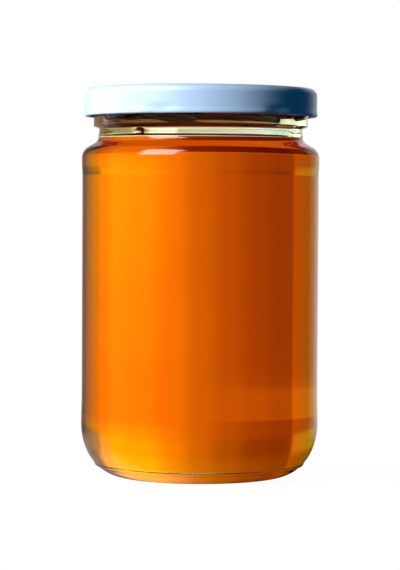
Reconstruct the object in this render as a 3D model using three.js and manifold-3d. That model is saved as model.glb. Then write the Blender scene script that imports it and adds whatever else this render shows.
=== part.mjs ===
// A shut honey jar: a clear glass jar with a six-start lug finish, its honey and a twist-off metal lid.
// Millimetres, +Z up, the jar standing on z = 0 with its axis on the Z axis and its front towards -Y.
import * as THREE from "three";
import { mergeVertices } from "three/addons/utils/BufferGeometryUtils.js";
import Module from "manifold-3d";

const wasm = await Module();
wasm.setup();

// Facets round every turned piece, a multiple of the six threads.
const FACETS = 48;
const THREADS = 6;

// Glass, outside: bearing ring, rounded heel, recessed label panel, shoulder, neck and finish.
const BODY_RADIUS = 43.55;
const PANEL_RECESS = 0.3;
const PANEL_BOTTOM = 25.2;
const PANEL_TOP = 112.4;
const PANEL_STEP = 1.6;
const BEARING_INNER = 26.4;
const BEARING_OUTER = 28.4;
const PUSH_UP = 3.2;
const HEEL_HEIGHT = 19;
const SHOULDER_BASE = 116.6;
const SHOULDER_ANGLE = 60;
const SHOULDER_CONVEX = 4.4;
const SHOULDER_CONCAVE = 2.6;
const NECK_RADIUS = 37.5;
const FINISH_BASE = 127.1;
const FINISH_RADIUS = 39.25;
const FINISH_EDGE = 1;
const RIM_HEIGHT = 141;
const RIM_EDGE = 1.1;

// Glass, inside: an even wall, a thick base and a wide rounded inner corner.
const WALL = 2.6;
const FLOOR_HEIGHT = 5.2;
const FLOOR_DOME = 2.2;
const FLOOR_RADIUS = 26;
const CORNER_HEIGHT = 21;

// Thread ridges on the finish. Angles turn from the front towards +X.
const RIDGE_RADIUS = 0.9;
const RIDGE_REACH = 41.1;
const RIDGE_LOW = 131.2;
const RIDGE_RISE = 4;
const RIDGE_START = -1;
const RIDGE_SWEEP = 47;

// Honey, standing clear of the glass, up to its level at the foot of the neck.
const HONEY_LEVEL = 123.3;
const CLEARANCE = 0.3;

// Lid: sheet metal with a raised rim, a button, a rolled lower edge and six lugs.
const LID_TOP = 142;
const LID_SHEET = 0.4;
const LID_RADIUS = 42.6;
const LID_CORNER = 2.6;
const LID_RING_INNER = 32.5;
const LID_RECESS = 0.8;
const LID_RAMP = 1.8;
const BUTTON_RADIUS = 8;
const BUTTON_RISE = 0.5;
const CURL_RADIUS = 0.85;
const CURL_REACH = 43.1;
const CURL_BOTTOM = 131.6;
const LUG_REACH = 40.1;
const LUG_HEIGHT = 1;
const LUG_LIFT = 0.2;
const LUG_START = -20.5;
const LUG_SWEEP = 11;

const rad = THREE.MathUtils.degToRad;
const at = (radius, height) => new THREE.Vector2(radius, height);

// Points along an elliptical arc in the plane of radius and height, angles in degrees.
function arc(centre, width, height, from, to, steps) {
  return Array.from({ length: steps + 1 }, (_, step) => {
    const angle = rad(from + ((to - from) * step) / steps);
    return at(centre.x + width * Math.cos(angle), centre.y + height * Math.sin(angle));
  });
}

// Shoulder at a depth below the outside: convex arc, cone and concave arc, the arcs' centres fixed.
function shoulder(depth, ceiling = Infinity) {
  const slope = rad(SHOULDER_ANGLE);
  const arcs = SHOULDER_CONVEX + SHOULDER_CONCAVE;
  const cone = (BODY_RADIUS - NECK_RADIUS - arcs * (1 - Math.cos(slope))) / Math.sin(slope);
  const top = SHOULDER_BASE + arcs * Math.sin(slope) + cone * Math.cos(slope);
  const convex = SHOULDER_CONVEX - depth;
  const concave = SHOULDER_CONCAVE + depth;
  const cut = Math.asin(Math.max(0, top - ceiling) / concave);
  const lower = at(BODY_RADIUS - SHOULDER_CONVEX, SHOULDER_BASE);
  const upper = at(NECK_RADIUS + SHOULDER_CONCAVE, top);
  return [
    ...arc(lower, convex, convex, 0, SHOULDER_ANGLE, 4),
    ...arc(upper, concave, concave, 180 + SHOULDER_ANGLE, 180 + THREE.MathUtils.radToDeg(cut), 4),
  ];
}

// Inside of the jar from the middle of its floor up to a ceiling, drawn in by a gap.
function cavity(gap, ceiling) {
  const corner = at(FLOOR_RADIUS, CORNER_HEIGHT);
  const width = BODY_RADIUS - WALL - FLOOR_RADIUS - gap;
  const height = CORNER_HEIGHT - FLOOR_HEIGHT - gap;
  return [
    at(0, FLOOR_HEIGHT + FLOOR_DOME + gap),
    at(FLOOR_RADIUS / 2, FLOOR_HEIGHT + 0.75 * FLOOR_DOME + gap),
    ...arc(corner, width, height, -90, 0, 7),
    ...shoulder(WALL + gap, ceiling),
  ];
}

function glassOutline() {
  const panel = BODY_RADIUS - PANEL_RECESS;
  const throat = NECK_RADIUS - WALL;
  const rim = RIM_HEIGHT - RIM_EDGE;
  return [
    at(0, PUSH_UP),
    at(BEARING_INNER / 2, 0.75 * PUSH_UP),
    at(BEARING_INNER, 0),
    ...arc(at(BEARING_OUTER, HEEL_HEIGHT), BODY_RADIUS - BEARING_OUTER, HEEL_HEIGHT, -90, 0, 8),
    at(BODY_RADIUS, PANEL_BOTTOM - PANEL_STEP),
    at(panel, PANEL_BOTTOM),
    at(panel, PANEL_TOP),
    at(BODY_RADIUS, PANEL_TOP + PANEL_STEP),
    ...shoulder(0),
    at(NECK_RADIUS, FINISH_BASE),
    ...arc(at(FINISH_RADIUS - FINISH_EDGE, FINISH_BASE + FINISH_EDGE), FINISH_EDGE, FINISH_EDGE, -90, 0, 3),
    ...arc(at(FINISH_RADIUS - RIM_EDGE, rim), RIM_EDGE, RIM_EDGE, 0, 90, 3),
    ...arc(at(throat + RIM_EDGE, rim), RIM_EDGE, RIM_EDGE, 90, 180, 3),
    ...cavity(0, Infinity).reverse(),
  ];
}

function honeyOutline() {
  return [...cavity(CLEARANCE, HONEY_LEVEL), at(0, HONEY_LEVEL)];
}

// One face of the lid's sheet, from the middle to the top of the skirt, at a depth below the top.
function lidFace(depth) {
  const ring = LID_TOP - depth;
  const panel = ring - LID_RECESS;
  const corner = at(LID_RADIUS - LID_CORNER, LID_TOP - LID_CORNER);
  return [
    at(0, panel + BUTTON_RISE),
    at(BUTTON_RADIUS, panel + BUTTON_RISE),
    at(BUTTON_RADIUS + LID_RAMP, panel),
    at(LID_RING_INNER - LID_RAMP, panel),
    at(LID_RING_INNER, ring),
    ...arc(corner, LID_CORNER - depth, LID_CORNER - depth, 90, 0, 4),
  ];
}

function lidOutline() {
  const curl = at(CURL_REACH - CURL_RADIUS, CURL_BOTTOM + CURL_RADIUS);
  return [
    ...lidFace(LID_SHEET),
    ...arc(curl, CURL_RADIUS, CURL_RADIUS, 95, 420, 10),
    ...lidFace(0).reverse(),
  ];
}

// A piece turned about the vertical axis from its outline.
function turned(outline) {
  return new THREE.LatheGeometry(outline, FACETS).rotateX(Math.PI / 2);
}

// Centre line of a thread ridge: a rising helix whose ends sink into the glass.
class RidgeCurve extends THREE.Curve {
  getPoint(t, target = new THREE.Vector3()) {
    const angle = rad(RIDGE_START + RIDGE_SWEEP * t - 90);
    const sink = THREE.MathUtils.smoothstep(Math.abs(2 * t - 1), 0.7, 1);
    const radius = RIDGE_REACH - RIDGE_RADIUS - sink * (RIDGE_REACH - FINISH_RADIUS);
    return target.set(radius * Math.cos(angle), radius * Math.sin(angle), RIDGE_LOW + RIDGE_RISE * t);
  }
}

function ridge() {
  const section = new THREE.Shape().absarc(0, 0, RIDGE_RADIUS, 0, 2 * Math.PI);
  return new THREE.ExtrudeGeometry(section, { steps: 10, curveSegments: 4, extrudePath: new RidgeCurve() });
}

// A lug: a flat sector reaching inwards from the lid's rolled edge.
function lug() {
  const from = rad(LUG_START - LUG_SWEEP / 2 - 90);
  const to = rad(LUG_START + LUG_SWEEP / 2 - 90);
  const sector = new THREE.Shape();
  sector.absarc(0, 0, CURL_REACH - CURL_RADIUS, from, to, false);
  sector.absarc(0, 0, LUG_REACH, to, from, true);
  const plate = new THREE.ExtrudeGeometry(sector, { depth: LUG_HEIGHT, curveSegments: 3, bevelEnabled: false });
  return plate.translate(0, 0, CURL_BOTTOM + LUG_LIFT);
}

function solidOf(geometry) {
  const bare = geometry.clone();
  bare.deleteAttribute("normal");
  bare.deleteAttribute("uv");
  const merged = mergeVertices(bare, 1e-3);
  const vertProperties = new Float32Array(merged.attributes.position.array);
  const triVerts = new Uint32Array(merged.index.array);
  return new wasm.Manifold(new wasm.Mesh({ numProp: 3, vertProperties, triVerts }));
}

function geometryOf(solid) {
  const mesh = solid.getMesh();
  const geometry = new THREE.BufferGeometry();
  geometry.setAttribute("position", new THREE.BufferAttribute(mesh.vertProperties, 3));
  geometry.setIndex(new THREE.BufferAttribute(mesh.triVerts, 1));
  geometry.computeVertexNormals();
  return geometry;
}

// A turned piece with a detail repeated once for each thread.
function withDetails(body, detail) {
  let solid = solidOf(body);
  for (let thread = 0; thread < THREADS; thread += 1) {
    const turn = (thread * 2 * Math.PI) / THREADS;
    solid = solid.add(solidOf(detail.clone().rotateZ(turn)));
  }
  return geometryOf(solid);
}

function piece(name, geometry, settings) {
  const mesh = new THREE.Mesh(geometry, new THREE.MeshStandardMaterial(settings));
  mesh.name = name;
  return mesh;
}

const glass = { color: 0xdfe8e6, roughness: 0.05, metalness: 0, transparent: true, opacity: 0.35 };
const amber = { color: 0xd9860c, roughness: 0.1, metalness: 0 };
const lacquer = { color: 0xf1f3f6, roughness: 0.3, metalness: 0 };

const jar = new THREE.Group();
jar.name = "honey_jar";
jar.add(
  piece("glass_jar", withDetails(turned(glassOutline()), ridge()), glass),
  piece("honey", turned(honeyOutline()), amber),
  piece("lid", withDetails(turned(lidOutline()), lug()), lacquer),
);

export default jar;
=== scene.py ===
"""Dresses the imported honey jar: clear glass, amber honey that wets it, and a lacquered twist-off lid."""

import bpy
import numpy as np
from mathutils import Matrix, Vector


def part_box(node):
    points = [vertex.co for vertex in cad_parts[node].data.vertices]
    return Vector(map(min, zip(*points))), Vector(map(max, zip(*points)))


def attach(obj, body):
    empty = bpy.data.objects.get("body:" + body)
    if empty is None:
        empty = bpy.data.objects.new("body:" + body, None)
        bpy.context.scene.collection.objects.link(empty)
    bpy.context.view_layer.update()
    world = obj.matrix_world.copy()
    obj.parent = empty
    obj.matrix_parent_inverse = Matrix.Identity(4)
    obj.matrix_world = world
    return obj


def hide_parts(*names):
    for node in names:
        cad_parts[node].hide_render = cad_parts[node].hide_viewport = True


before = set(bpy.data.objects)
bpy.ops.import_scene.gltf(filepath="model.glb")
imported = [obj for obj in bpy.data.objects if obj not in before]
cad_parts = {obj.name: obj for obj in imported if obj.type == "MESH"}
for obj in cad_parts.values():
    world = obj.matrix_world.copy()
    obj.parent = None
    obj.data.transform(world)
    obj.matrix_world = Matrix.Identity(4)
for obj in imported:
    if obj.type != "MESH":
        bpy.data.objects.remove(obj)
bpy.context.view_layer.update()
GLASS_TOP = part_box("glass_jar")[1]
HONEY_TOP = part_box("honey")[1]
LID_BOTTOM, LID_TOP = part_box("lid")

bl_info = {
    "name": "Honey Jar",
    "version": (1, 0, 0),
    "blender": (4, 5, 0),
    "location": "View3D > Sidebar > Honey Jar",
    "description": "Builds a shut glass honey jar with its honey and its twist-off lid",
    "category": "Add Mesh",
}

MM = 0.001
THREADS = 6
THREAD_PITCH = 2 * np.pi / THREADS


def length(name, millimetres, description):
    """A size in metres, given in millimetres."""
    return bpy.props.FloatProperty(
        name=name, description=description, default=millimetres * MM, precision=5,
        subtype="DISTANCE", unit="LENGTH",
    )


def angle(name, degrees, description):
    """An angle in radians, given in degrees."""
    return bpy.props.FloatProperty(
        name=name, description=description, default=np.radians(degrees), subtype="ANGLE", unit="ROTATION",
    )


def colour(name, red, green, blue, description):
    """A linear colour without alpha."""
    return bpy.props.FloatVectorProperty(
        name=name, description=description, default=(red, green, blue), size=3, min=0, soft_max=4,
        subtype="COLOR",
    )


def number(name, default, description):
    """A plain number."""
    return bpy.props.FloatProperty(name=name, description=description, default=default)


class GlassSettings(bpy.types.PropertyGroup):
    """Sizes and finish of the glass jar."""

    body_radius: length("Body radius", GLASS_TOP.x / MM, "Radius of the heel and shoulder beads")
    panel_recess: length("Panel recess", 0.2, "Depth of the label panel below the beads")
    panel_bottom: length("Panel bottom", 31, "Height where the label panel starts")
    panel_top: length("Panel top", 110, "Height where the label panel ends")
    panel_step: length("Panel step", 4.4, "Height of the step over the label panel")
    bearing_inner: length("Bearing inner", 26.4, "Inner radius of the ring that the jar stands on")
    bearing_outer: length("Bearing outer", 28.4, "Outer radius of the ring that the jar stands on")
    push_up: length("Push-up", 3.2, "Height of the hollow under the base")
    heel_height: length("Heel height", 19, "Height of the rounded heel")
    seam_height: length("Seam height", 4.2, "Height of the mould's parting bead on the heel")
    seam_half: length("Seam half height", 1.1, "Half height of the parting bead")
    seam_reach: length("Seam reach", 0.5, "Reach of the parting bead")
    shoulder_base: length("Shoulder base", 116.4, "Height where the shoulder starts to turn in")
    shoulder_angle: angle("Shoulder angle", 60, "Turn of the wall over the shoulder")
    shoulder_wide: length("Shoulder width", 4.2, "Half width of the shoulder's outward bend")
    shoulder_tall: length("Shoulder height", 4.6, "Half height of the shoulder's outward bend")
    shoulder_concave: length("Shoulder concave", 2.6, "Radius of the bend into the neck")
    neck_radius: length("Neck radius", 37.5, "Outer radius at the foot of the neck")
    neck_top: length("Neck top radius", 37.15, "Outer radius at the top of the neck")
    neck_flare: length("Neck flare", 2.8, "Height over which the neck narrows above its foot")
    finish_base: length("Finish base", 127.6, "Height where the thick finish starts")
    finish_radius: length("Finish radius", 39.25, "Outer radius of the finish")
    finish_edge: length("Finish edge", 1.2, "Height of the soft step under the finish")
    rim_height: length("Rim height", GLASS_TOP.z / MM, "Height of the rim")
    rim_edge: length("Rim edge", 1.1, "Rounding of the rim")
    wall: length("Wall", 2.6, "Thickness of the wall")
    floor_height: length("Floor height", 5.2, "Height of the inner floor at its edge")
    floor_dome: length("Floor dome", 2.2, "Rise of the inner floor to its middle")
    floor_radius: length("Floor radius", 26, "Radius where the inner corner starts")
    corner_height: length("Corner height", 21, "Height where the inner corner ends")
    ridge_reach: length("Ridge reach", 40.6, "Outer radius of the thread ridges")
    ridge_half: length("Ridge half height", 1.1, "Half height of a thread ridge")
    ridge_low: length("Ridge low end", 131.2, "Height of a thread ridge's low end")
    ridge_rise: length("Ridge rise", 4, "Rise of a thread ridge over its sweep")
    ridge_start: angle("Ridge start", -1, "Angle of a ridge's low end from the front")
    ridge_sweep: angle("Ridge sweep", 47, "Angle that a thread ridge covers")
    tint: colour("Glass tint", 0.985, 0.995, 0.99, "Colour of the clear glass")
    ior: number("Glass index", 1.52, "Index of refraction of the glass")


class HoneySettings(bpy.types.PropertyGroup):
    """Level, shape and colour of the honey."""

    level: length("Level", HONEY_TOP.z / MM, "Height of the honey's surface")
    meniscus_rise: length("Meniscus rise", 0.35, "Climb of the honey up the glass")
    meniscus_width: length("Meniscus width", 1.6, "Width over which the climb fades")
    overlap: length("Wall overlap", 0.06, "Depth that the honey reaches into the glass")
    tint: colour("Honey tint", 1, 1, 1, "Colour of the honey's skin")
    absorb_colour: colour("Absorption colour", 0.966, 0.732, 0.05, "Colour that the honey lets through")
    absorb_density: number("Absorption density", 100, "Absorption per metre")
    ior: number("Honey index", 1.49, "Index of refraction of the honey")
    film_top: length("Film top", 138.5, "Height up to which honey clings to the neck")
    film_depth: length("Film depth", 0.22, "Depth of the honey that clings to the neck")
    drop_turn: angle("Drop turn", -37.6, "Angle of the drop on the neck from the front")
    drop_height: length("Drop height", 125.2, "Height of the drop on the neck")
    drop_depth: length("Drop depth", 0.9, "Depth of the drop on the neck")
    film_left: colour("Film left", 0.95, 0.85, 0.6, "Colour of the film on the left")
    film_right: colour("Film right", 0.98, 0.97, 0.94, "Colour of the film on the right")
    # Painted shade: the film's colour under the lid stands for honey residue together with the lid's shade.
    film_residue_and_shade: colour("Film high", 0.5, 0.32, 0.18, "Colour of the film under the lid")


class LidSettings(bpy.types.PropertyGroup):
    """Sizes and finish of the lid."""

    top: length("Top", LID_TOP.z / MM, "Height of the raised rim")
    sheet: length("Sheet", 0.4, "Thickness of the metal")
    radius: length("Radius", 42.6, "Outer radius of the skirt")
    corner: length("Corner", 2.6, "Rounding of the top edge")
    ring_inner: length("Ring inner", 32.5, "Inner radius of the raised rim")
    recess: length("Recess", 0.8, "Depth of the middle panel")
    ramp: length("Ramp", 1.8, "Width of the slopes on the top")
    button_radius: length("Button radius", 8, "Radius of the safety button")
    button_rise: length("Button rise", 0.5, "Rise of the safety button")
    curl_radius: length("Curl radius", 0.85, "Radius of the rolled lower edge")
    curl_reach: length("Curl reach", 42.8, "Outer radius of the rolled edge")
    flare_height: length("Flare height", 1.8, "Height over which the skirt widens to the rolled edge")
    lug_reach: length("Lug reach", 40.1, "Inner radius of the lugs")
    lug_half: angle("Lug half width", 7, "Half the angle of a lug")
    lug_start: angle("Lug start", -20.5, "Angle of a lug from the front")
    dent_depth: length("Dent depth", 0.6, "Depth of the dent outside each lug")
    dent_height: length("Dent height", 4.2, "Height of the dent outside each lug")
    dent_half: angle("Dent half width", 10, "Half the angle of a dent")
    lacquer: colour("Lacquer", 0.53, 0.71, 0.97, "Colour of the outside lacquer")
    lining: colour("Lining", 0.4, 0.22, 0.07, "Colour of the inside lacquer")


class StageSettings(bpy.types.PropertyGroup):
    """Camera, floor and lights."""

    camera_distance: length("Camera distance", 870, "Distance of the camera from the jar's axis")
    camera_height: length("Camera height", 101.3, "Height of the camera")
    aim_height: length("Aim height", 70, "Height on the axis that the camera looks at")
    camera_roll: angle("Camera roll", 0.3, "Lean of the camera")
    camera_lens: number("Lens", 149.5, "Focal length in millimetres")
    box_colour: colour("Softbox colour", 1, 0.93, 0.9, "Colour of the softbox that shows in reflections")
    box_power: number("Softbox power", 10, "Brightness of the softbox that shows in reflections")
    key_colour: colour("Key colour", 1, 1, 1, "Colour of the lights on matte surfaces")
    key_power: number("Key power", 57, "Brightness of the light from the front left")
    fill_power: number("Fill power", 39, "Brightness of the light from the left")
    rim_power: number("Rim power", 47, "Brightness of the light from behind on the right")
    back_right: colour("Back right", 2.1, 2.4, 1.9, "Light behind the jar on the right")
    back_middle: colour("Back middle", 1.0, 1.1, 0.9, "Light straight behind the jar")
    back_left: colour("Back left", 0.45, 0.28, 0.18, "Light behind the jar on the left")
    surround: colour("Surround", 0.8, 0.88, 0.7, "Light that shows through the jar from the other sides")
    ambient: colour("Ambient", 0.0015, 0.042, 0.08, "Dim light all round")
    floor_colour: colour("Floor colour", 1, 1, 1, "Colour of the floor")


def joined(*sections):
    """One outline from sections laid end to end, without repeated points."""
    line = np.concatenate([np.atleast_2d(section) for section in sections])
    apart = np.hypot(*np.diff(line, axis=0).T) > 1e-7
    return line[np.concatenate([[True], apart])]


def arc(centre, radii, start, stop, count):
    """Points at even angles, in radians, on an ellipse: centre + (width cos t, height sin t)."""
    turn = np.linspace(start, stop, count)
    return np.column_stack([centre[0] + radii[0] * np.cos(turn), centre[1] + radii[1] * np.sin(turn)])


def straight(start, stop, count=2, margin=0.3 * MM):
    """A straight line with points close to both ends, so that shading stays flat along it."""
    start, stop = np.array(start), np.array(stop)
    share = min(margin / np.hypot(*(stop - start)), 0.3)
    steps = np.concatenate([[0], np.linspace(share, 1 - share, count), [1]])
    return start + (stop - start) * steps[:, None]


def eased(start, stop, count=9):
    """A soft step between two points: the radius follows 3t^2 - 2t^3 while the height runs evenly."""
    share = np.linspace(0, 1, count)
    ease = share * share * (3 - 2 * share)
    return np.column_stack([start[0] + (stop[0] - start[0]) * ease, start[1] + (stop[1] - start[1]) * share])


def domed(radius, edge, rise, count=14):
    """A shallow dome from the axis out to its edge: height = edge + rise (1 - (r / radius)^2)."""
    reach = np.linspace(0, radius, count)
    return np.column_stack([reach, edge + rise * (1 - (reach / radius) ** 2)])


def shoulder(glass, depth):
    """The shoulder at a depth below the outside: an elliptical bend, a cone and a bend into the neck."""
    slope, concave = glass.shoulder_angle, glass.shoulder_concave

    def bulge(inset):
        radii = (glass.shoulder_wide - inset, glass.shoulder_tall - inset)
        stop = np.arctan(np.tan(slope) * radii[1] / radii[0])
        return arc((glass.body_radius - glass.shoulder_wide, glass.shoulder_base), radii, 0, stop, 20)

    start, lower = bulge(0)[-1], bulge(depth)
    run = start[0] - glass.neck_radius - concave * (1 - np.cos(slope))
    centre = (glass.neck_radius + concave, start[1] + run / np.tan(slope) + concave * np.sin(slope))
    upper = arc(centre, (concave + depth, concave + depth), np.pi + slope, np.pi, 14)
    return joined(lower, straight(lower[-1], upper[0]), upper)


def cavity(glass, gap, ceiling):
    """The inside of the jar from the middle of its floor up to a ceiling, moved inwards by a gap."""
    depth = glass.wall + gap
    wall = glass.body_radius - depth
    corner = (glass.floor_radius, glass.corner_height)
    radii = (wall - glass.floor_radius, glass.corner_height - glass.floor_height - gap)
    bend = shoulder(glass, depth)
    climb = joined(bend, straight(bend[-1], (bend[-1][0], glass.rim_height), 12))
    brim = (np.interp(ceiling, climb[:, 1], climb[:, 0]), ceiling)
    return joined(
        domed(glass.floor_radius, glass.floor_height + gap, glass.floor_dome),
        arc(corner, radii, -np.pi / 2, 0, 28),
        straight((wall, glass.corner_height), bend[0]),
        climb[climb[:, 1] < ceiling],
        brim,
    )


def heel(glass):
    """The rounded heel: a quarter ellipse, with the mould's parting bead as a smooth bump of its radius."""
    radii = (glass.body_radius - glass.bearing_outer, glass.heel_height)
    line = arc((glass.bearing_outer, glass.heel_height), radii, -np.pi / 2, 0, 96)
    line[:, 0] += glass.seam_reach * bell(line[:, 1] - glass.seam_height, glass.seam_half)
    return line


def glass_outline(glass):
    """Half section of the jar, from the middle of its base round the outside and back to its inner floor."""
    body, panel, finish = glass.body_radius, glass.body_radius - glass.panel_recess, glass.finish_radius
    rim, lip = glass.rim_height - glass.rim_edge, glass.rim_edge
    ledge = glass.finish_base + glass.finish_edge / 2
    bend, inside = shoulder(glass, 0), cavity(glass, 0, rim)
    waist = (glass.neck_top, bend[-1][1] + glass.neck_flare)
    return joined(
        domed(glass.bearing_inner, 0, glass.push_up),
        straight((glass.bearing_inner, 0), (glass.bearing_outer, 0)),
        heel(glass),
        eased((body, glass.heel_height), (panel, glass.panel_bottom)),
        straight((panel, glass.panel_bottom), (panel, glass.panel_top)),
        eased((panel, glass.panel_top), (body, glass.panel_top + glass.panel_step)),
        bend,
        eased(bend[-1], waist, 16),
        straight(waist, (glass.neck_top, ledge - glass.finish_edge)),
        eased((glass.neck_top, ledge - glass.finish_edge), (finish, ledge), 16),
        straight((finish, ledge), (finish, rim), 48),
        arc((finish - lip, rim), (lip, lip), 0, np.pi / 2, 8),
        arc((inside[-1][0] + lip, rim), (lip, lip), np.pi / 2, np.pi, 8),
        inside[::-1],
    )


def honey_outline(glass, honey):
    """Half section of the honey: the jar's inside moved just into the wall, then the surface.

    The surface is level, and climbs the glass as rise * exp(-distance from the wall / width).
    """
    side = cavity(glass, -honey.overlap, honey.level + honey.meniscus_rise)
    wall = side[-1][0]
    reach = wall * (1 - np.linspace(0, 1, 48) ** 2.5)
    climb = honey.meniscus_rise * np.exp((reach - wall) / honey.meniscus_width)
    return joined(side, np.column_stack([reach, honey.level + climb])), len(side)


def lid_face(lid, depth):
    """One face of the lid's sheet, from the middle out to the top of the skirt, at a depth below the top."""
    ring = lid.top - depth
    panel = ring - lid.recess
    inner = lid.ring_inner - lid.ramp
    centre = (lid.radius - lid.corner, lid.top - lid.corner)
    radii = (lid.corner - depth, lid.corner - depth)
    slope = lid.button_radius + lid.ramp
    return joined(
        domed(lid.button_radius, panel + lid.button_rise, 0.15 * MM, 8),
        eased_across((lid.button_radius, panel + lid.button_rise), (slope, panel)),
        straight((slope, panel), (inner, panel)),
        eased_across((inner, panel), (lid.ring_inner, ring)),
        straight((lid.ring_inner, ring), (centre[0], ring)),
        arc(centre, radii, np.pi / 2, 0, 14),
    )


def eased_across(start, stop, count=9):
    """A soft step between two points: the height follows 3t^2 - 2t^3 while the radius runs evenly."""
    return eased(start[::-1], stop[::-1], count)[:, ::-1]


def lid_outline(lid):
    """Half section of the lid, from the middle of its underside round the rolled edge to its top's middle."""
    curl = (lid.curl_reach - lid.curl_radius, LID_BOTTOM.z + lid.curl_radius)
    roll = arc(curl, (lid.curl_radius, lid.curl_radius), np.radians(95), np.radians(360), 28)
    flare = (lid.radius, curl[1] + lid.flare_height)
    inside, outside = lid_face(lid, lid.sheet), lid_face(lid, 0)
    return joined(
        inside,
        straight(inside[-1], roll[0], 16),
        roll,
        eased(roll[-1], flare, 16),
        straight(flare, outside[-1], 10),
        outside[::-1],
    ), len(inside) + 16 + 2 * len(roll) // 3


def from_front(turn):
    """Angle from the front, positive to the right, of a turn counted from the X axis."""
    return turn + np.pi / 2


def bell(offset, half):
    """A smooth bump: (1 + cos(pi x)) / 2 for x = offset / half inside +-1, and 0 outside."""
    return 0.5 + 0.5 * np.cos(np.pi * np.clip(np.abs(offset) / half, 0, 1))


def ramp_between(value, low, high):
    """0 below low, 1 above high and 3t^2 - 2t^3 between."""
    share = np.clip((value - low) / (high - low), 0, 1)
    return share * share * (3 - 2 * share)


def ridge_relief(glass, rings, turn):
    """Height of the thread ridges: a bump across a rising helix that fades in and out at its ends."""
    on_finish = (rings[:, 0] > glass.finish_radius - 1e-6) & (rings[:, 1] > glass.finish_base)
    along = np.mod(from_front(turn) - glass.ridge_start, THREAD_PITCH) / glass.ridge_sweep
    fade = ramp_between(along, 0, 0.15) * (1 - ramp_between(along, 0.85, 1))
    middle = glass.ridge_low + glass.ridge_rise * along
    across = bell(rings[:, 1, None] - middle, 1.6 * glass.ridge_half) ** 0.7
    height = (glass.ridge_reach - glass.finish_radius) * across * fade
    return np.where(on_finish[:, None] & (rings[:, 1, None] < glass.rim_height - 2 * MM), height, 0)


def lug_relief(lid, rings, turn, outer_from):
    """Inward pressing of the lid: a shallow dent outside and a deeper lug inside, once for each thread."""
    offset = np.mod(from_front(turn) - lid.lug_start + THREAD_PITCH / 2, THREAD_PITCH) - THREAD_PITCH / 2
    above = rings[:, 1] - LID_BOTTOM.z
    outer = np.arange(len(rings)) >= outer_from
    dent = lid.dent_depth * (1 - ramp_between(above, 0.6 * MM, lid.dent_height))
    lug_depth = lid.curl_reach - 2 * lid.curl_radius - lid.lug_reach
    lug = lug_depth * (1 - ramp_between(above, 1.2 * MM, 2.2 * MM))
    pressed = np.where(outer, 0, lug)[:, None] * bell(offset, lid.lug_half)
    return -np.maximum(pressed, dent[:, None] * bell(offset, lid.dent_half))


def turned(outline, segments, relief=None):
    """Surface of revolution: (r cos v, r sin v, z), r and z along the outline, closed on the axis.

    Relief adds to the radius at each ring and turn. Returns the points, the faces and each face's ring.
    """
    rings = outline[1:-1]
    turn = np.arange(segments) * (2 * np.pi / segments)
    radius = rings[:, :1] + (relief(rings, turn) if relief else np.zeros((1, segments)))
    height = np.broadcast_to(rings[:, 1:], radius.shape)
    skin = np.stack([radius * np.cos(turn), radius * np.sin(turn), height], axis=-1).reshape(-1, 3)
    ends = np.array([[0, 0, outline[0, 1]], [0, 0, outline[-1, 1]]])
    points = np.concatenate([skin, ends])
    first = np.arange(len(rings) * segments).reshape(len(rings), segments)
    after = np.roll(first, -1, axis=1)
    quads = np.stack([first[:-1], after[:-1], after[1:], first[1:]], axis=-1).reshape(-1, 4)
    start, stop = len(skin), len(skin) + 1
    opening = np.column_stack([np.full(segments, start), after[0], first[0]])
    closing = np.column_stack([np.full(segments, stop), first[-1], after[-1]])
    ring = np.concatenate([
        np.repeat(np.arange(len(rings) - 1), segments),
        np.zeros(segments, int),
        np.full(segments, len(rings) - 1),
    ])
    return points, quads.tolist() + opening.tolist() + closing.tolist(), ring


def film_surface(glass, honey):
    """A closed thin sleeve on the neck's inside. Its radius is the throat's plus a little on the outer side,
    and less the film's depth on the inner side, as waves of turn and height that fade at top and bottom."""
    segments, rows = 240, 60
    throat = glass.neck_radius - glass.wall
    share = np.linspace(0, 1, rows)[:, None]
    turn = np.arange(segments) * (2 * np.pi / segments) - np.pi
    base = honey.level + 0.6 * MM
    height = base + (honey.film_top - base) * share
    runs = np.sin(5 * turn + 3.1 * share) + np.sin(11 * turn + 1.3)
    runs = runs + 0.8 * np.sin(17 * turn - 4 * share + 0.4)
    ripples = np.sin(19 * share + 2 * np.sin(3 * turn)) + 0.6 * np.sin(41 * share + 4 * turn + 1)
    depth = honey.film_depth * (1 + 0.05 * runs + 0.02 * ripples)
    drop = bell(from_front(turn) - honey.drop_turn, np.radians(4))
    drop = drop * bell(height - honey.drop_height, 2.3 * MM)
    fade = ramp_between(share, 0, 0.06) * (1 - ramp_between(share, 0.94, 1))
    depth = depth * fade + honey.drop_depth * drop
    outer = np.broadcast_to(throat + 0.1 * MM, depth.shape)
    inner = throat + 0.06 * MM - depth
    radius = np.concatenate([outer, inner[::-1]])
    level = np.broadcast_to(np.concatenate([height, height[::-1]]), radius.shape)
    points = np.stack([radius * np.cos(turn), radius * np.sin(turn), level], axis=-1).reshape(-1, 3)
    first = np.arange(2 * rows * segments).reshape(2 * rows, segments)
    after, above = np.roll(first, -1, axis=1), np.roll(first, -1, axis=0)
    faces = np.stack([first, after, np.roll(after, -1, axis=0), above], axis=-1).reshape(-1, 4)
    return (points, faces.tolist(), np.repeat(np.arange(2 * rows), segments)), np.arange(2 * rows) >= rows


def piece(name, surface, materials, finish_of_ring, node):
    """A smooth mesh piece, which may stand for a CAD node; a face's material depends on its ring."""
    points, faces, ring = surface
    mesh = bpy.data.meshes.new(name)
    mesh.from_pydata(points.tolist(), [], faces)
    for material in materials:
        mesh.materials.append(material)
    mesh.polygons.foreach_set("material_index", finish_of_ring[ring].astype(np.int32))
    mesh.polygons.foreach_set("use_smooth", np.ones(len(faces), bool))
    mesh.update()
    made = bpy.data.objects.new(name, mesh)
    bpy.context.scene.collection.objects.link(made)
    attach(made, "root")
    if node:
        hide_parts(node)
    return made


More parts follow.
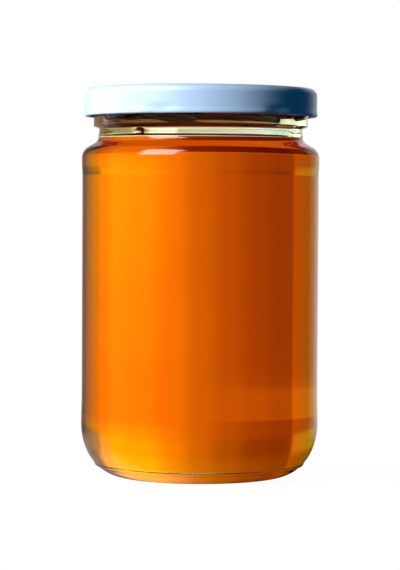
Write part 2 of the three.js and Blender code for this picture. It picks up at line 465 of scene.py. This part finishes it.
class Field:
    """A node's output that Python operators carry on with Math nodes."""

    def __init__(self, tree, output=None):
        self.tree = tree
        self.output = output

    def node(self, kind, settings=None, inputs=None, result=0):
        """Adds a node, sets its settings, then sets or links its sockets, and returns one of its outputs."""
        made = self.tree.nodes.new(kind)
        for key, value in (settings or {}).items():
            setattr(made, key, value)
        for key, value in (inputs or {}).items():
            if isinstance(value, Field):
                self.tree.links.new(value.output, made.inputs[key])
            else:
                made.inputs[key].default_value = value
        return Field(self.tree, made.outputs[result] if len(made.outputs) else None)

    def math(self, operation, *values):
        return self.node("ShaderNodeMath", {"operation": operation}, dict(enumerate(values)))

    def __add__(self, other):
        return self.math("ADD", self, other)

    def __sub__(self, other):
        return self.math("SUBTRACT", self, other)

    def __mul__(self, other):
        return self.math("MULTIPLY", self, other)

    def __truediv__(self, other):
        return self.math("DIVIDE", self, other)

    def __radd__(self, other):
        return self.math("ADD", other, self)

    def __rsub__(self, other):
        return self.math("SUBTRACT", other, self)

    def __rmul__(self, other):
        return self.math("MULTIPLY", other, self)

    def between(self, low, high):
        """0 below low, 1 above high and smooth between."""
        settings = {"interpolation_type": "SMOOTHSTEP"}
        return self.node("ShaderNodeMapRange", settings, {"Value": self, "From Min": low, "From Max": high})

    def pick(self, name):
        """Another output of the same node."""
        return Field(self.tree, self.output.node.outputs[name])

    def times(self, other):
        """The product of two colours."""
        settings = {"data_type": "RGBA", "blend_type": "MULTIPLY"}
        return self.node("ShaderNodeMix", settings, {0: 1.0, 6: self, 7: other}, 2)

    def ramp(self, stops):
        """A colour that passes smoothly through colours at rising values."""
        (start, result), *rest = stops
        for stop, tone in rest:
            result = self.between(start, stop).blend(result, tone)
            start = stop
        return result

    def blend(self, first, second):
        """A colour between two, by this factor."""
        settings = {"data_type": "RGBA"}
        return self.node("ShaderNodeMix", settings, {0: self, 6: rgba(first), 7: rgba(second)}, 2)


def rgba(value):
    """A colour as a socket takes it: a link as it is, or a colour with alpha added."""
    return value if isinstance(value, Field) else (*value, 1)


def new_tree(owner):
    """The empty node tree of a material or world."""
    owner.use_nodes = True
    owner.node_tree.nodes.clear()
    return Field(owner.node_tree)


def clear_material(name, tint, ior, absorb=None, wave=0.0):
    """A see-through finish with faint clouds in its tint and upright waves in its surface.

    The index is relative to what lies outside, so honey against glass hardly bends light.
    """
    material = bpy.data.materials.new(name)
    tree = new_tree(material)
    place = tree.node("ShaderNodeTexCoord", None, None, "Object")
    upright = tree.node("ShaderNodeMapping", None, {"Vector": place, "Scale": (1, 1, 0.1)})
    cloud = tree.node("ShaderNodeTexNoise", None, {"Vector": place, "Scale": 40.0, "Detail": 3.0})
    flow = tree.node("ShaderNodeTexNoise", None, {"Vector": upright, "Scale": 60.0, "Detail": 2.0})
    shader = tree.node("ShaderNodeBsdfPrincipled", None, {
        "Base Color": cloud.between(0.4, 0.7).blend(tint, [0.98 * c for c in tint]),
        "Roughness": 0.0, "IOR": ior, "Transmission Weight": 1.0,
        "Normal": tree.node("ShaderNodeBump", None, {"Strength": wave, "Distance": 0.0004, "Height": flow}),
    })
    inputs = {"Surface": shader}
    if absorb:
        inputs["Volume"] = tree.node(
            "ShaderNodeVolumeAbsorption", None, {"Color": rgba(absorb[0]), "Density": absorb[1]}
        )
    tree.node("ShaderNodeOutputMaterial", None, inputs)
    return material


def film_material(name, honey, ior):
    """A see-through amber film, golden on the left, khaki on the right, and darker under the lid: honey
    residue there, with painted shade from the lid.
    """
    material = bpy.data.materials.new(name)
    tree = new_tree(material)
    place = tree.node("ShaderNodeTexCoord", None, None, "Object")
    across = tree.node("ShaderNodeSeparateXYZ", None, {0: place})
    height = across.pick("Z")
    side = across.between(-0.032, 0.03)
    base = side.blend(honey.film_left, honey.film_right)
    # Painted shade under the lid: near the lid the film takes its under-lid colour, less so on the right.
    dark = height.between(0.1272, 0.1292) * (1 - 0.7 * across.between(0.018, 0.034))
    shader = tree.node("ShaderNodeBsdfPrincipled", None, {
        "Base Color": dark.blend(base, honey.film_residue_and_shade), "Roughness": 0.0, "IOR": ior,
        "Transmission Weight": 1.0,
    })
    tree.node("ShaderNodeOutputMaterial", None, {"Surface": shader})
    return material


def lacquer_material(name, base, roughness, metallic):
    """Gloss lacquer on sheet metal, with a faint orange peel and a little dust in its colour."""
    material = bpy.data.materials.new(name)
    tree = new_tree(material)
    place = tree.node("ShaderNodeTexCoord", None, None, "Object")
    peel = tree.node("ShaderNodeTexNoise", None, {"Vector": place, "Scale": 900.0, "Detail": 2.0})
    cloud = tree.node("ShaderNodeTexNoise", None, {"Vector": place, "Scale": 70.0, "Detail": 4.0})
    worn = cloud.between(0.45, 0.75)
    shader = tree.node("ShaderNodeBsdfPrincipled", None, {
        "Base Color": (worn * 0.3).blend(base, [0.9 * c for c in base]),
        "Roughness": roughness + 0.08 * worn, "Metallic": metallic,
        "Normal": tree.node("ShaderNodeBump", None, {"Strength": 0.04, "Distance": 0.0002, "Height": peel}),
    })
    tree.node("ShaderNodeOutputMaterial", None, {"Surface": shader})
    return material


class HONEYJAR_OT_glass(bpy.types.Operator):
    """Build the glass jar, with its threads"""

    bl_idname = "honeyjar.glass"
    bl_label = "Glass jar"

    def execute(self, context):
        glass, honey = context.scene.honey_jar_glass, context.scene.honey_jar_honey
        outline = glass_outline(glass)
        rings = outline[1:-1]
        inside = np.arange(len(rings)) > np.argmax(rings[:, 1])
        wet = inside & (rings[:, 1] < honey.film_top)
        materials = [
            clear_material("clear_glass", glass.tint, glass.ior, wave=0.06),
            clear_material("honeyed_glass", glass.tint, glass.ior / honey.ior),
        ]
        surface = turned(outline, 240, lambda rings, turn: ridge_relief(glass, rings, turn))
        piece("jar_of_glass", surface, materials, wet, "glass_jar")
        return {"FINISHED"}


class HONEYJAR_OT_honey(bpy.types.Operator):
    """Build the honey, up to its level"""

    bl_idname = "honeyjar.honey"
    bl_label = "Honey"

    def execute(self, context):
        glass, honey = context.scene.honey_jar_glass, context.scene.honey_jar_honey
        outline, side = honey_outline(glass, honey)
        absorb = (honey.absorb_colour, honey.absorb_density)
        materials = [
            clear_material("honey_at_glass", honey.tint, 1.0, absorb),
            clear_material("honey_surface", honey.tint, honey.ior, absorb, 0.2),
        ]
        surface = np.arange(len(outline) - 2) >= side - 2
        piece("honey_filling", turned(outline, 240), materials, surface, "honey")
        return {"FINISHED"}


class HONEYJAR_OT_film(bpy.types.Operator):
    """Build the thin honey film that clings to the neck"""

    bl_idname = "honeyjar.film"
    bl_label = "Honey film"

    def execute(self, context):
        glass, honey = context.scene.honey_jar_glass, context.scene.honey_jar_honey
        at_glass = film_material("film_at_glass", honey, 1.0)
        materials = [at_glass, film_material("film_surface", honey, honey.ior)]
        surface, rings = film_surface(glass, honey)
        piece("neck_film", surface, materials, rings, None)
        return {"FINISHED"}


class HONEYJAR_OT_lid(bpy.types.Operator):
    """Build the twist-off lid"""

    bl_idname = "honeyjar.lid"
    bl_label = "Lid"

    def execute(self, context):
        lid = context.scene.honey_jar_lid
        outline, outer_from = lid_outline(lid)
        materials = [
            lacquer_material("lid_lacquer", lid.lacquer, 0.28, 0.0),
            lacquer_material("lid_lining", lid.lining, 0.4, 0.7),
        ]
        surface = turned(outline, 360, lambda rings, turn: lug_relief(lid, rings, turn, outer_from))
        inside = np.arange(len(outline) - 2) < outer_from - 8
        piece("twist_off_lid", surface, materials, inside, "lid")
        return {"FINISHED"}


class HONEYJAR_OT_stage(bpy.types.Operator):
    """Set up the floor, the lights and the camera"""

    bl_idname = "honeyjar.stage"
    bl_label = "Stage"

    def execute(self, context):
        stage = context.scene.honey_jar_stage
        place_camera(context.scene, stage)
        lay_floor(stage)
        hang_light("softbox", -43, 34, (0.44, 0.56), stage.box_colour, stage.box_power, True)
        hang_light("key", -47, 18, (0.2, 0.2), stage.key_colour, stage.key_power, False)
        hang_light("fill", -100, 18, (0.2, 0.2), stage.key_colour, stage.fill_power, False)
        hang_light("rim", 155, 18, (0.2, 0.2), stage.key_colour, stage.rim_power, False)
        light_world(context.scene, stage)
        context.scene.view_settings.view_transform = "Standard"
        cycles = context.scene.cycles
        cycles.max_bounces = 24
        cycles.transmission_bounces = 24
        cycles.glossy_bounces = 12
        cycles.sample_clamp_indirect = 12
        return {"FINISHED"}


def place_camera(scene, stage):
    """A long lens in front of the jar, a little above its middle."""
    camera = bpy.data.objects.new("camera", bpy.data.cameras.new("camera"))
    scene.collection.objects.link(camera)
    place = Vector((0, -stage.camera_distance, stage.camera_height))
    aim = Vector((0, 0, stage.aim_height))
    facing = (aim - place).to_track_quat("-Z", "Y").to_matrix() @ Matrix.Rotation(stage.camera_roll, 3, "Z")
    camera.matrix_world = Matrix.Translation(place) @ facing.to_4x4()
    camera.data.lens = stage.camera_lens
    scene.camera = camera


def lay_floor(stage):
    """A plain pale floor that shows to the camera and takes a faint shadow."""
    mesh = bpy.data.meshes.new("floor")
    half = 6
    corners = [(-half, -half, 0), (half, -half, 0), (half, half, 0), (-half, half, 0)]
    mesh.from_pydata(corners, [], [(0, 1, 2, 3)])
    floor = bpy.data.objects.new("floor", mesh)
    bpy.context.scene.collection.objects.link(floor)
    material = bpy.data.materials.new("pale_floor")
    tree = new_tree(material)
    matte = tree.node("ShaderNodeBsdfDiffuse", None, {"Color": rgba(stage.floor_colour)})
    glow = tree.node("ShaderNodeEmission", None, {"Color": rgba(stage.floor_colour), "Strength": 1.0})
    place = tree.node("ShaderNodeTexCoord", None, None, "Object")
    away = tree.node("ShaderNodeVectorMath", {"operation": "LENGTH"}, {0: place}, "Value")
    lit = 0.965 + 0.035 * away.between(0.1, 0.4)
    tree.node("ShaderNodeOutputMaterial", None, {
        "Surface": tree.node("ShaderNodeMixShader", None, {0: lit, 1: matte, 2: glow})
    })
    mesh.materials.append(material)
    floor.visible_diffuse = False
    floor.visible_glossy = False
    floor.visible_transmission = False


def hang_light(name, turn, rise, size, colour, strength, mirrored):
    """A soft rectangular light 0.6 m from the neck, at a turn from the front and a rise in degrees.

    It shows in reflections only, or lights matte surfaces only.
    """
    light = bpy.data.lights.new(name, "AREA")
    light.shape = "RECTANGLE"
    light.size, light.size_y = size
    light.color = colour
    light.energy = strength * np.pi * light.size * light.size_y
    tree = new_tree(light)
    place = tree.node("ShaderNodeNewGeometry", None, None, "Parametric")
    across = tree.node("ShaderNodeSeparateXYZ", None, {0: place})
    upward = across.pick("Y")
    edge = across.between(0, 0.2) * across.between(1, 0.8) * upward.between(0, 0.2) * upward.between(1, 0.8)
    glow = tree.node("ShaderNodeEmission", None, {"Strength": edge})
    tree.node("ShaderNodeOutputLight", None, {"Surface": glow})
    lamp = bpy.data.objects.new(name, light)
    bpy.context.scene.collection.objects.link(lamp)
    turn, rise = np.radians(turn), np.radians(rise)
    away = Vector((np.sin(turn) * np.cos(rise), -np.cos(turn) * np.cos(rise), np.sin(rise)))
    lamp.location = Vector((0, 0, 0.12)) + away * 0.6
    lamp.rotation_euler = away.to_track_quat("Z", "Y").to_euler()
    lamp.visible_camera = False
    lamp.visible_transmission = False
    lamp.visible_glossy = mirrored
    lamp.visible_diffuse = not mirrored


def light_world(scene, stage):
    """White to the camera. Light through the jar varies behind it by azimuth from straight behind, positive
    to the right, and by elevation, in degrees, and is even elsewhere. Reflections find a narrower light, and
    matte surfaces a dim blue."""
    world = bpy.data.worlds.new("studio")
    scene.world = world
    tree = new_tree(world)
    way = tree.node("ShaderNodeTexCoord", None, None, "Generated")
    split = tree.node("ShaderNodeSeparateXYZ", None, {0: way})
    across, along, up = (Field(tree.tree, socket) for socket in split.output.node.outputs)
    turn = across.math("ARCTAN2", across, along) * (180 / np.pi)
    rise = up.math("ARCSINE", up) * (180 / np.pi)
    sheet = turn.ramp([
        (-85, (0.5, 0.6, 0.6)), (-65, (0.52, 0.85, 0.8)), (-53, (0.55, 0.54, 0.4)),
        (-38.5, (0.7, 0.46, 0.3)), (-37, stage.back_left), (-29, stage.back_left), (-18, (0.56, 0.39, 0.25)),
        (-9, (0.74, 0.66, 0.5)), (0, stage.back_middle), (8, (1.4, 1.7, 1.4)), (17, stage.back_right),
        (32, stage.back_right), (40, (1.7, 1.75, 1.3)), (50, (1.05, 1.35, 0.7)), (60, (0.55, 0.9, 0.45)),
        (68, (0.22, 0.36, 0.25)), (74, (0.1, 0.13, 0.1)),
    ])
    right = turn.between(3, 14)
    dip = turn.between(-24, 2).blend((1.45, 1.7, 1.2), (1.02, 1.02, 1))
    fall = rise.ramp([(-5.3, dip), (-4, (1.02, 1.02, 1)), (-2.5, (1, 1, 1))])
    golden = rise.ramp([
        (-4.5, (1, 0.78, 0.9)), (-3, (1, 0.84, 0.9)), (-1.2, (1, 0.95, 1)), (0.3, (1, 1.02, 1)),
    ])
    heel = turn.ramp([
        (-75, (1, 1, 1)), (-66, (1.4, 2.3, 5)), (-40.5, (1.4, 2.3, 5)), (-37.5, (1, 1, 1)),
        (-32, (0.82, 0.8, 0.7)), (-17, (0.78, 0.8, 0.7)), (-8, (0.88, 0.94, 0.9)), (0, (0.98, 1.02, 1)),
        (5, (1.02, 1.1, 1)),
        (15, (1, 1.25, 0.8)), (41, (1, 1.25, 0.8)), (47, (0.55, 0.75, 1)), (60, (0.5, 0.6, 0.9)),
    ])
    middle = turn.between(-75, -50) * turn.between(75, 50)
    shade = middle.blend((1, 1, 1), right.blend((0.3, 0.1, 0.08), (0.6, 0.5, 0.4)))
    through = rise.between(-33, -26).blend((0.95, 0.85, 0.5), sheet.times(shade))
    through = rise.between(-8.4, -7.2).blend(through, sheet.times(right.blend(fall, golden)))
    through = rise.between(2, 4.5).blend(through, sheet.times(heel))
    bright = right.blend((0.95, 1.2, 1.1), (1.05, 1.45, 1))
    bright = turn.between(42, 52).blend(bright, (0.3, 0.3, 0.3))
    through = rise.between(8, 12).blend(through, sheet.times(bright))
    through = rise.between(45, 75).blend(through, (0.6, 0.6, 0.6))
    behind = turn.between(-104, -84) * turn.between(96, 80)
    through = behind.blend(stage.surround, through)
    mirrored = turn.ramp([
        (-66, (0.012, 0.012, 0.012)), (-50, (0.2, 0.15, 0.1)), (-43, (0.3, 0.25, 0.19)),
        (-22, (0.2, 0.2, 0.16)), (-10, (0.5, 0.45, 0.4)), (10, (0.8, 0.75, 0.72)), (25, (0.7, 0.65, 0.62)),
        (37, (0.3, 0.28, 0.26)), (52, (0.012, 0.012, 0.012)),
    ])
    low = (turn.between(-85, -60) * (1 - turn.between(-18, 5)) * 0.5).blend((0, 0, 0), (1, 0.92, 0.88))
    mirrored = rise.between(-12, -6).blend(low, mirrored)
    mirrored = rise.between(18, 30).blend(mirrored, (0.012, 0.016, 0.02))
    path = tree.node("ShaderNodeLightPath")
    names = ("Is Transmission Ray", "Is Camera Ray", "Is Glossy Ray")
    sent, seen, glossy = (path.pick(name) for name in names)
    light = glossy.blend(stage.ambient, sent.blend(mirrored, through))
    shown = tree.node("ShaderNodeBackground", None, {"Color": seen.blend(light, (1, 1, 1)), "Strength": 1.0})
    tree.node("ShaderNodeOutputWorld", None, {"Surface": shown})


class HONEYJAR_PT_panel(bpy.types.Panel):
    """Lists the jar's pieces and their sizes"""

    bl_idname = "HONEYJAR_PT_panel"
    bl_label = "Honey Jar"
    bl_space_type = "VIEW_3D"
    bl_region_type = "UI"
    bl_category = "Honey Jar"

    def draw(self, context):
        for operator, settings in PARTS:
            self.layout.operator(operator.bl_idname)
            if settings:
                group = getattr(context.scene, settings)
                for name in group.__annotations__:
                    self.layout.prop(group, name)


PARTS = (
    (HONEYJAR_OT_glass, "honey_jar_glass"),
    (HONEYJAR_OT_honey, "honey_jar_honey"),
    (HONEYJAR_OT_film, None),
    (HONEYJAR_OT_lid, "honey_jar_lid"),
    (HONEYJAR_OT_stage, "honey_jar_stage"),
)
GROUPS = {
    "honey_jar_glass": GlassSettings,
    "honey_jar_honey": HoneySettings,
    "honey_jar_lid": LidSettings,
    "honey_jar_stage": StageSettings,
}


def register():
    for name, group in GROUPS.items():
        bpy.utils.register_class(group)
        setattr(bpy.types.Scene, name, bpy.props.PointerProperty(type=group))
    for operator, _ in PARTS:
        bpy.utils.register_class(operator)
    bpy.utils.register_class(HONEYJAR_PT_panel)


def unregister():
    bpy.utils.unregister_class(HONEYJAR_PT_panel)
    for operator, _ in PARTS:
        bpy.utils.unregister_class(operator)
    for name, group in GROUPS.items():
        delattr(bpy.types.Scene, name)
        bpy.utils.unregister_class(group)


def main():
    register()
    bpy.ops.honeyjar.glass()
    bpy.ops.honeyjar.honey()
    bpy.ops.honeyjar.film()
    bpy.ops.honeyjar.lid()
    bpy.ops.honeyjar.stage()


if __name__ == "__main__":
    main()
